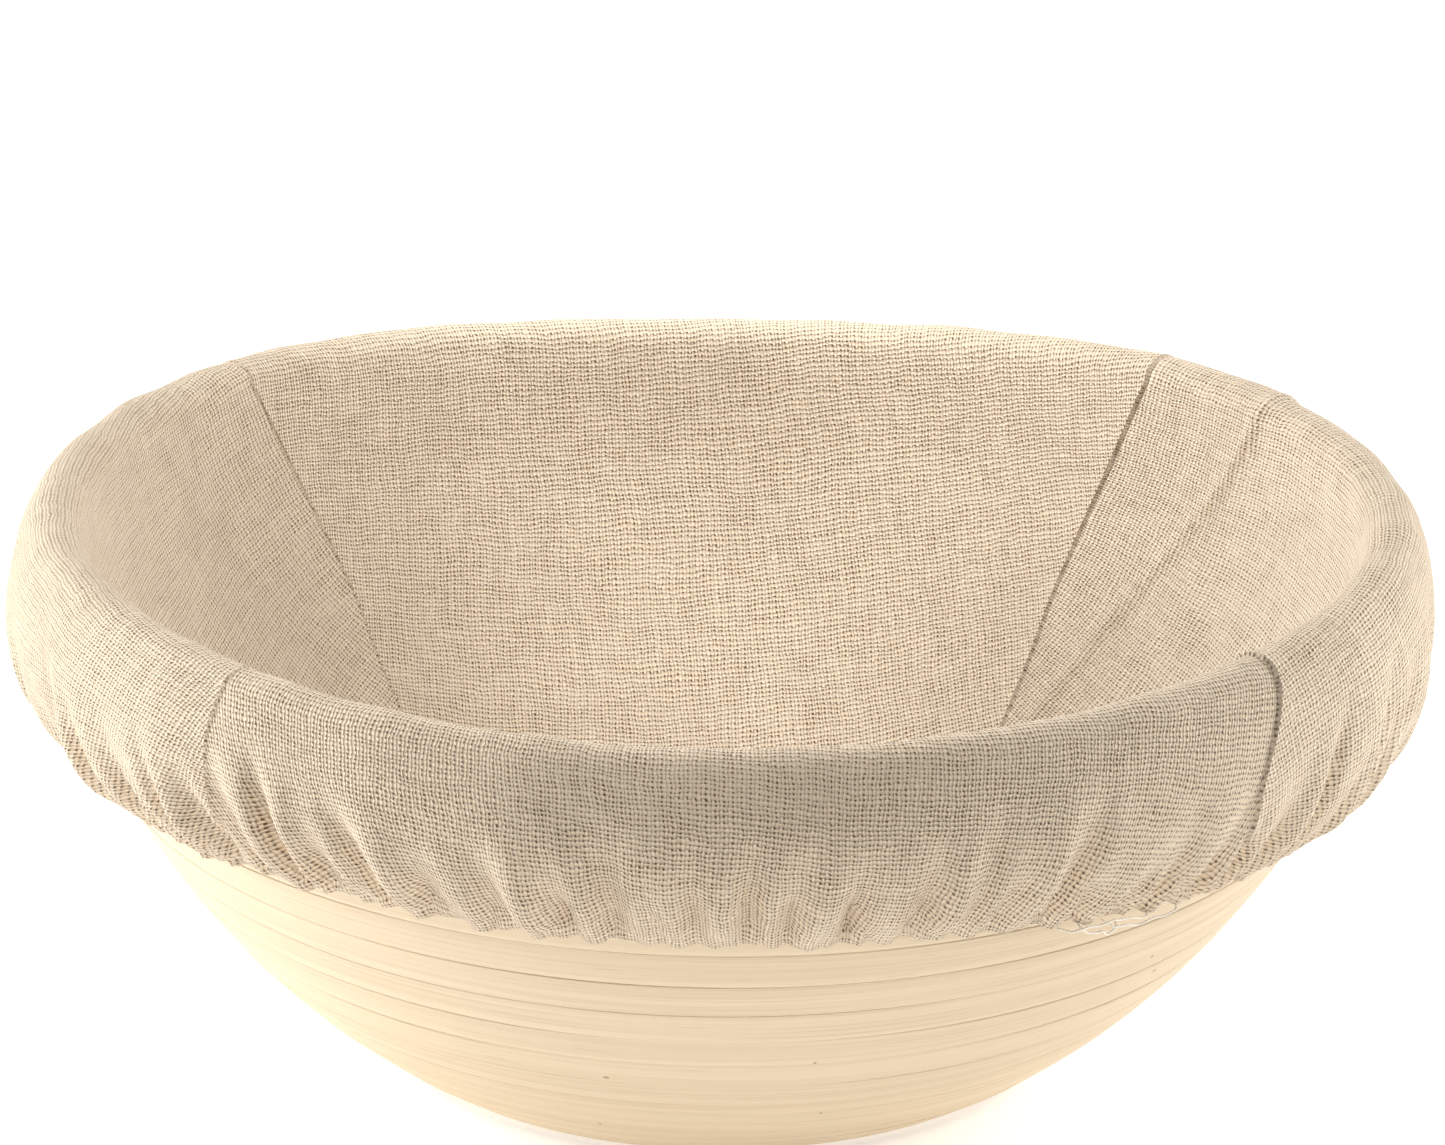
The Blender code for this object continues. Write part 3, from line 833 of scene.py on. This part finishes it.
def seam_shadow(along, angle, seams):
    """Strength of the painted shadow line in the seams: a narrow bell on each side of the stitches."""
    shadow = np.zeros_like(angle)
    for seam, proud, weight in zip(seams, PROUD_SIDES, SEAM_SHADOWS):
        side = rim_length(angle - seam) * proud
        line = np.exp(-((side / SHADOW_LOW) ** 2)) * (side < 0)
        line = line + np.exp(-((side / SHADOW_PROUD) ** 2)) * (side >= 0)
        shadow += weight * line * ramp(along, FLOOR_RADIUS + 0.002, FLOOR_RADIUS + 0.03)
    return shadow


def liner_columns():
    """Places between the seams, closer together beside them, as (seam, share) pairs."""
    share = np.linspace(0, 1, PANEL_COLUMNS, endpoint=False)
    share = share - CROWDING * np.sin(TAU * share) / TAU
    seam = np.repeat(np.arange(4), PANEL_COLUMNS)
    return seam, np.tile(share, 4)


def column_angles(along, place):
    """Azimuth of every column, a row for each length, where place(k, along) is that of seam k."""
    seam, share = liner_columns()
    along = np.asarray(along)[:, None]
    here = np.stack([place(k, along[:, 0]) for k in range(4)], axis=-1)
    after = np.concatenate([here[:, 1:], here[:, :1] + TAU], axis=-1)
    return here[:, seam] + (after - here)[:, seam] * share[None]


def cloth_uv(along, radius, bend, fullness, angle, panel):
    """Place on the flat cloth, threads along X and Y, of points on one of its four panels.

    Across a panel a parallel of the bowl turns in the cloth by the angle from the panel's middle
    times bend, the rate at which the radius grows along the cloth.
    """
    turn = math.pi / 2 * panel
    off = np.angle(np.exp(1j * (angle - turn)))
    across = radius * np.sin(off * bend) / bend * fullness
    down = along - radius * (1 - np.cos(off * bend)) / bend
    x = down * np.cos(turn) - across * np.sin(turn)
    y = down * np.sin(turn) + across * np.cos(turn)
    rise = np.clip(y / 0.06, -1, 1)
    return np.stack([x + LEAN * y * np.maximum(rise, 0), y - SLANT * x * rise], axis=-1)


def bowl_rows(inner):
    """Radius, height and azimuth of the cloth inside, for lengths along the meridian."""
    angle = column_angles(inner, seam_angle)
    along = inner[:, None]
    soft = 0.00022 * ring_waves(angle, 3, 5, 19) * np.sin(along * 90) * ramp(along, 0.02, 0.08)
    seams = [seam_angle(k, along) for k in range(4)]
    lift = seam_relief(along, angle, seams, INNER_EDGES, INNER_GROOVES, INNER_FLAPS) + np.abs(soft)
    off = cloth_off(along) + lift
    radius, height, slope = meridian(along)
    return radius - off * np.sin(slope), height + off * np.cos(slope) + sway(along, angle), angle


def fold_rows(fold):
    """The same over the rim, for directions from the middle of the top turn."""
    angle = column_angles(np.full(ROWS_FOLD, RIM_AT), seam_angle)
    turned = fold[:, None]
    gone = (FOLD_START - turned) / (FOLD_START - FOLD_END)
    seams = [seam_angle(k, RIM_AT) for k in range(4)]
    inside = seam_relief(RIM_AT, angle, seams, INNER_EDGES, INNER_GROOVES, INNER_FLAPS)
    outside = seam_relief(RIM_AT, angle, seams, OUTER_EDGES, OUTER_GROOVES, OUTER_FLAPS)
    reach = cloth_off(RIM_AT)
    off = reach + (FOLD_OFF - reach) * ramp(gone, 0.0, 0.3) + inside + (outside - inside) * gone
    off = off + rim_unevenness(angle) * ramp(gone, 0.0, 0.4)
    return RIM_RADIUS + off * np.cos(turned), RIM_HEIGHT + off * np.sin(turned) + sway(RIM_AT, angle), angle


def skirt_rows(skirt):
    """The same on the skirt, for shares of the way from the rim to the hem."""
    angle = column_angles(skirt, skirt_seam)
    share = skirt[:, None]
    radius, height = skirt_line(share, angle)
    seams = [skirt_seam(k, share) for k in range(4)]
    relief = seam_relief(RIM_AT, angle, seams, OUTER_EDGES, OUTER_GROOVES, OUTER_FLAPS) * (1 - 0.3 * share)
    shift = relief + rim_unevenness(angle) * (1 - ramp(share, 0.0, 0.3)) + gathers(share, angle)
    lying = FOLD_END * (1 - ramp(share, 0.0, 0.4)) - GATHER_TILT * ramp(share, 0.3, 1.0)
    height = height + shift * np.sin(lying) + sway(RIM_AT - SWAY_DROP * share, angle)
    return radius + shift * np.cos(lying), height, angle


def hem_rows(roll):
    """The same on the hem, rolled round the elastic and turned up, for shares of the way round."""
    angle = column_angles(np.ones(ROWS_HEM), skirt_seam)
    roll = roll[:, None]
    radius, height, slope = meridian(hem_at(angle), CLOTH_OFF + HEM_ROLL)
    round_share = np.minimum(roll / HEM_ROLLED, 1.0)
    turned = slope - math.pi / 2 - round_share * math.pi
    scallop = 1 + 0.16 * ring_waves(angle, 17, 60, 130, 8) * np.sin(round_share * math.pi)
    shift = np.maximum(gathers(1.0, angle), -HEM_DEEPEST) * (1 - ramp(roll, 0.25, 0.6))
    up = HEM_TURN_UP * np.maximum(roll - HEM_ROLLED, 0.0) / (1 - HEM_ROLLED)
    radius = radius + HEM_ROLL * scallop * np.cos(turned) + up * np.cos(slope) + shift * math.cos(GATHER_TILT)
    height = height + HEM_ROLL * scallop * np.sin(turned) + up * np.sin(slope) - shift * math.sin(GATHER_TILT)
    return radius, height + sway(RIM_AT - SWAY_DROP, angle), angle


def flat_rows(inner, fold, skirt, roll):
    """Length, girth, bend and fullness of each row of the cloth, and how far it is past the rim."""
    radius, _, slope = meridian(inner)
    past_fold = (FOLD_START - fold) * FOLD_OFF
    past_skirt = (FOLD_START - FOLD_END) * FOLD_OFF + skirt * SKIRT_LENGTH * RELAXED
    past_hem = past_skirt[-1] + (roll * HEM_CLOTH + 0.001)
    past = np.concatenate([past_fold, past_skirt, past_hem])
    rim_bend = math.cos(RIM_SLOPE)
    along = np.concatenate([inner, RIM_AT + past])
    girth = np.concatenate([radius, RIM_RADIUS + past * rim_bend])
    bend = np.concatenate([np.maximum(np.cos(slope), rim_bend), np.full_like(past, rim_bend)])
    gathered = 1 + SKIRT_FULLNESS * (past_skirt - past_skirt[0]) / SKIRT_LENGTH
    fullness = [np.ones(len(inner) + len(fold)), gathered, np.full(len(roll), 1 + SKIRT_FULLNESS)]
    return (along, girth, bend, np.concatenate(fullness)), past


def cloth_corners(quads, angle, flat):
    """Flat place of every face corner, so that each panel keeps its own threads, the fan's last."""
    columns = angle.shape[1]
    panel_of = (liner_columns()[0] + 1) % 4
    corner = quads.reshape(-1)
    corner_panel = np.repeat(panel_of[quads[:, 0] % columns], 4)
    uv = np.zeros((len(corner), 2))
    fan_uv = np.zeros((columns, 3, 2))
    for panel in range(4):
        on = corner_panel == panel
        row = corner[on] // columns
        uv[on] = cloth_uv(*[values[row] for values in flat], angle.reshape(-1)[corner[on]], panel)
        on = np.flatnonzero(panel_of == panel)
        for place, which in ((1, on), (2, (on + 1) % columns)):
            fan_uv[on, place] = cloth_uv(*[values[0] for values in flat], angle[0, which], panel)
    return np.concatenate([uv, fan_uv.reshape(-1, 2)])


def put_values(made, name, values):
    """A number for every point of a mesh, as an attribute for its material."""
    made.data.attributes.new(name, "FLOAT", "POINT").data.foreach_set("value", values)


def liner_mesh():
    """The whole liner as one grid, from the middle of the floor over the rim to the turned-up hem.

    Rows follow the meridian, the fold over the top turn, the skirt's cubic and the roll of the hem;
    columns follow the seams. The middle of the floor is closed with a fan.
    """
    floor = np.linspace(FLOOR_MIDDLE, FOOT_AT, ROWS_FLOOR, endpoint=False)
    wall = np.linspace(FOOT_AT, RIM_AT, ROWS_WALL, endpoint=False)
    inner = np.concatenate([floor, wall])
    fold = np.linspace(FOLD_START, FOLD_END, ROWS_FOLD, endpoint=False)
    skirt = np.linspace(0.0, 1.0, ROWS_SKIRT, endpoint=False)
    roll = np.linspace(0.0, 1.0, ROWS_HEM)
    parts = (bowl_rows(inner), fold_rows(fold), skirt_rows(skirt), hem_rows(roll))
    radius, height, angle = (np.concatenate(values) for values in zip(*parts))
    rows, columns = radius.shape
    points = np.stack([radius * np.cos(angle), radius * np.sin(angle), height], axis=-1).reshape(-1, 3)
    points = np.concatenate([points, [[0.0, 0.0, height[0].mean()]]])
    quads = grid_faces(rows, columns, True)
    fan = [[rows * columns, i, (i + 1) % columns] for i in range(columns)]
    made = put_mesh("liner_cloth", points, quads.tolist() + fan)

    flat, past = flat_rows(inner, fold, skirt, roll)
    put_uv(made, cloth_corners(quads, angle, flat))
    seams = []
    for k in range(4):
        over, under = np.full(ROWS_FOLD, SEAM_RIMS[k]), np.full(ROWS_HEM, SEAM_HEMS[k])
        seams.append(np.concatenate([seam_angle(k, inner), over, skirt_seam(k, skirt), under])[:, None])
    grown = np.concatenate([inner, np.full(len(past), RIM_AT)])[:, None]
    put_values(made, "seam_shadow", np.append(seam_shadow(grown, angle, seams), 0.0))
    # Where the cloth is not backed, its colour gets painted shade.
    backed = np.concatenate([np.ones(len(inner)), 1 - ramp(past, -0.003, 0.006)])
    put_values(made, "backed", np.append(np.repeat(backed, columns), 1.0))
    return made


def tube(name, path, radius, sides, closed=False):
    """Round tube: a ring at each point of a path, square to it, with closed ends or a joined loop."""
    ahead = np.roll(path, -1, axis=0) - np.roll(path, 1, axis=0)
    if not closed:
        ahead[0], ahead[-1] = path[1] - path[0], path[-1] - path[-2]
    ahead /= np.linalg.norm(ahead, axis=1)[:, None]
    side = np.cross(ahead, [0.0, 0.0, 1.0])
    side /= np.linalg.norm(side, axis=1)[:, None]
    up = np.cross(side, ahead)
    around = np.linspace(0, TAU, sides, endpoint=False)
    ring = np.cos(around)[None, :, None] * side[:, None] + np.sin(around)[None, :, None] * up[:, None]
    points = (path[:, None] + radius * ring).reshape(-1, 3)
    count = len(path)
    run = np.concatenate([[0], np.cumsum(np.linalg.norm(np.diff(path, axis=0), axis=1))])
    quads = grid_faces(count, sides, True)
    faces = quads.tolist()
    if closed:
        last = (count - 1) * sides
        faces += [[last + i, last + (i + 1) % sides, (i + 1) % sides, i] for i in range(sides)]
    else:
        faces += [list(range(sides))[::-1], [(count - 1) * sides + i for i in range(sides)]]
    made = put_mesh(name, points, faces)
    corner = np.array([c for face in faces for c in face])
    u, v = run[corner // sides], (corner % sides) / sides
    put_uv(made, np.stack([u, v], axis=-1))
    return made


def hem_path(angle, past, out):
    """Points round the hem, past its middle along the meridian and out from the meridian."""
    radius, height, _ = meridian(hem_at(angle) + past, out)
    height = height + sway(RIM_AT - SWAY_DROP, angle)
    return np.stack([radius * np.cos(angle), radius * np.sin(angle), height], axis=-1)


ELASTIC_RADIUS = 0.0007
ELASTIC_PAST = 0.0004
ELASTIC_OUT = CLOTH_OFF + 0.0009
THREAD_RADIUS = 0.00017
THREAD_DEPTH = 0.0012  # of a thread's ends inside the hem
THREAD_STAND_OFF = 0.0007  # from the hem's outer face at the middle of a thread
THREAD_WOBBLE = 0.00025
LOOSE_THREADS = (  # azimuths in degrees of both ends, then how far both and the middle lie past the hem's middle
    (299.5, 309.0, -0.0019, -0.0009, -0.0003),
    (301.0, 305.5, -0.0009, -0.0021, -0.0024),
    (304.0, 312.5, -0.0015, -0.0005, -0.0018),
)


def hem_cord(material):
    """The elastic, a round cord inside the roll of the hem."""
    angle = np.linspace(0, TAU, 240, endpoint=False)
    made = tube("hem_elastic_cord", hem_path(angle, ELASTIC_PAST, ELASTIC_OUT), ELASTIC_RADIUS, 12, closed=True)
    made.data.materials.append(material)
    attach(made, "liner")
    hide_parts("hem_elastic")
    return made


def loose_threads(material):
    """Ends of sewing thread that lie on the outside of the hem: shallow arcs that start inside it."""
    pieces = []
    for index, (first, last, start, end, middle) in enumerate(LOOSE_THREADS):
        share = np.linspace(0, 1, 48)
        sag = np.sin(math.pi * share)
        past = start + (end - start) * share + (middle - (start + end) / 2) * sag
        past = past + THREAD_WOBBLE * waves(share, index, 0.35)
        out = CLOTH_OFF + 2 * HEM_ROLL - THREAD_DEPTH + (THREAD_DEPTH + THREAD_STAND_OFF) * np.minimum(4 * sag, 1)
        path = hem_path(np.radians(first + (last - first) * share), past, out)
        made = tube(f"loose_thread_{index + 1}", path, THREAD_RADIUS, 6)
        made.data.materials.append(material)
        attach(made, "liner")
        pieces.append(made)
    return pieces


def build_liner(linen, elastic, thread):
    """The cloth with the elastic and the loose threads that go with it."""
    cloth = liner_mesh()
    cloth.data.materials.append(linen)
    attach(cloth, "liner")
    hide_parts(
        "liner_bowl", "liner_skirt", "back_right_dart", "back_left_dart", "front_left_dart", "front_right_dart"
    )
    cord = hem_cord(elastic)
    [cord] + loose_threads(thread)


def finish_pins(material):
    """Wire on the pins, which are the frame's own pieces."""
    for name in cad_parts:
        if "_pin_" in name:
            pin = bpy.data.objects[name]
            pin.data.materials.clear()
            pin.data.materials.append(material)


# Floor, lights and camera

MIDDLE = Vector((0, 0, 0.0475))
FLOOR_SPAN = 6.0  # from the middle to each edge
FLOOR_DROP = 0.0003  # below the foot, so that the two faces aren't in one plane
FLOOR_GLOW = 0.40
SKY_LEFT = 0.1
SKY_RIGHT = 1.45
SKY_BACK = 0.48
SKY_FRONT = 0.0
SKY_ABOVE = 0.1
LIGHT_AIM = Vector((0, 0, 0.06))
SOFTBOXES = (  # name, place, diameter and power
    ("softbox_above", (0.0, 0.25, 1.3), 0.7, 3),
    ("softbox_left", (-1.3, 0.2, 0.35), 0.8, 18.5),
    ("softbox_front_left", (-0.9, -0.8, 0.5), 0.6, 0.7),
    ("softbox_right", (1.2, 0.5, 0.35), 0.8, 8.5),
    ("softbox_upper_left", (-0.7, 0.2, 1.1), 0.7, 8),
    ("softbox_upper_right", (0.8, 0.2, 0.75), 0.5, 1.8),
)
SPOT_PLACE = (0, -0.45, 1.25)
SPOT_AIM = Vector((0, 0.112, 0.100))  # the upper part of the wall at the back
SPOT_POWER = 49
SPOT_SPREAD = math.radians(9)
CAMERA_AWAY = 1.30
CAMERA_ELEVATION = math.radians(20.05)
CAMERA_RAISED = math.radians(1.47)  # looks above the middle of the basket by this
CAMERA_ROLL = math.radians(0.63)
CAMERA_LENS = 190.9
CAMERA_SENSOR = 36.0


def build_floor():
    """White table that glows a little."""
    corners = [(x * FLOOR_SPAN, y * FLOOR_SPAN, 0) for x, y in ((-1, -1), (1, -1), (1, 1), (-1, 1))]
    mesh = bpy.data.meshes.new("studio_floor")
    mesh.from_pydata(corners, [], [(0, 1, 2, 3)])
    floor = bpy.data.objects.new("studio_floor", mesh)
    floor.location.z = -FLOOR_DROP
    bpy.context.scene.collection.objects.link(floor)
    made, _, shader = new_material("white_table")
    shader.inputs["Base Color"].default_value = (0.97, 0.97, 0.97, 1)
    shader.inputs["Roughness"].default_value = 0.9
    shader.inputs["Emission Color"].default_value = (1, 1, 1, 1)
    shader.inputs["Emission Strength"].default_value = FLOOR_GLOW
    mesh.materials.append(made)


def put_light(name, kind, place, aim, power):
    """Light at a place, turned to look at aim."""
    light = bpy.data.lights.new(name, kind)
    light.energy = power
    made = bpy.data.objects.new(name, light)
    made.location = place
    made.rotation_euler = (aim - Vector(place)).to_track_quat("-Z", "Y").to_euler()
    bpy.context.scene.collection.objects.link(made)
    return light


def build_light():
    """Sky whose brightness is mixed by direction: the squares of the direction's parts are the shares."""
    world = bpy.data.worlds.new("studio")
    bpy.context.scene.world = world
    world.use_nodes = True
    tree = world.node_tree
    x, y, z = split_xyz(tree, tree.nodes.new("ShaderNodeTexCoord").outputs["Generated"])
    total = 0.0
    for part, positive, negative in ((x, SKY_RIGHT, SKY_LEFT), (y, SKY_BACK, SKY_FRONT), (z, SKY_ABOVE, 0.0)):
        side = maths(tree, "GREATER_THAN", part, 0.0)
        level = maths(tree, "MULTIPLY_ADD", side, positive - negative, negative)
        total = maths(tree, "MULTIPLY_ADD", maths(tree, "MULTIPLY", part, part), level, total)
    shader = tree.nodes["Background"]
    shader.inputs["Color"].default_value = (1.0, 0.99, 0.98, 1)
    tree.links.new(total, shader.inputs["Strength"])
    for name, place, size, power in SOFTBOXES:
        softbox = put_light(name, "AREA", place, LIGHT_AIM, power)
        softbox.shape = "DISK"
        softbox.size = size
    spot = put_light("spot_into_bowl", "SPOT", SPOT_PLACE, SPOT_AIM, SPOT_POWER)
    spot.spot_size = SPOT_SPREAD
    spot.spot_blend = 0.9
    spot.shadow_soft_size = 0.04


def build_camera():
    """Long lens from the front, a little above."""
    back = Vector((0, -math.cos(CAMERA_ELEVATION), math.sin(CAMERA_ELEVATION)))
    data = bpy.data.cameras.new("camera")
    data.lens = CAMERA_LENS
    data.sensor_width = CAMERA_SENSOR
    made = bpy.data.objects.new("camera", data)
    tilt = Matrix.Rotation(math.pi / 2 - CAMERA_ELEVATION + CAMERA_RAISED, 4, "X")
    roll = Matrix.Rotation(CAMERA_ROLL, 4, "Z")
    made.matrix_world = Matrix.Translation(MIDDLE + back * CAMERA_AWAY) @ tilt @ roll
    bpy.context.scene.collection.objects.link(made)
    bpy.context.scene.camera = made


def main():
    bpy.context.scene.view_settings.view_transform = "Standard"
    build_camera()
    build_floor()
    build_light()
    build_canes(cane_material(cane_grain_group()))
    finish_pins(wire_material())
    build_liner(linen_material(plain_weave_group()), elastic_material(), thread_material())


main()
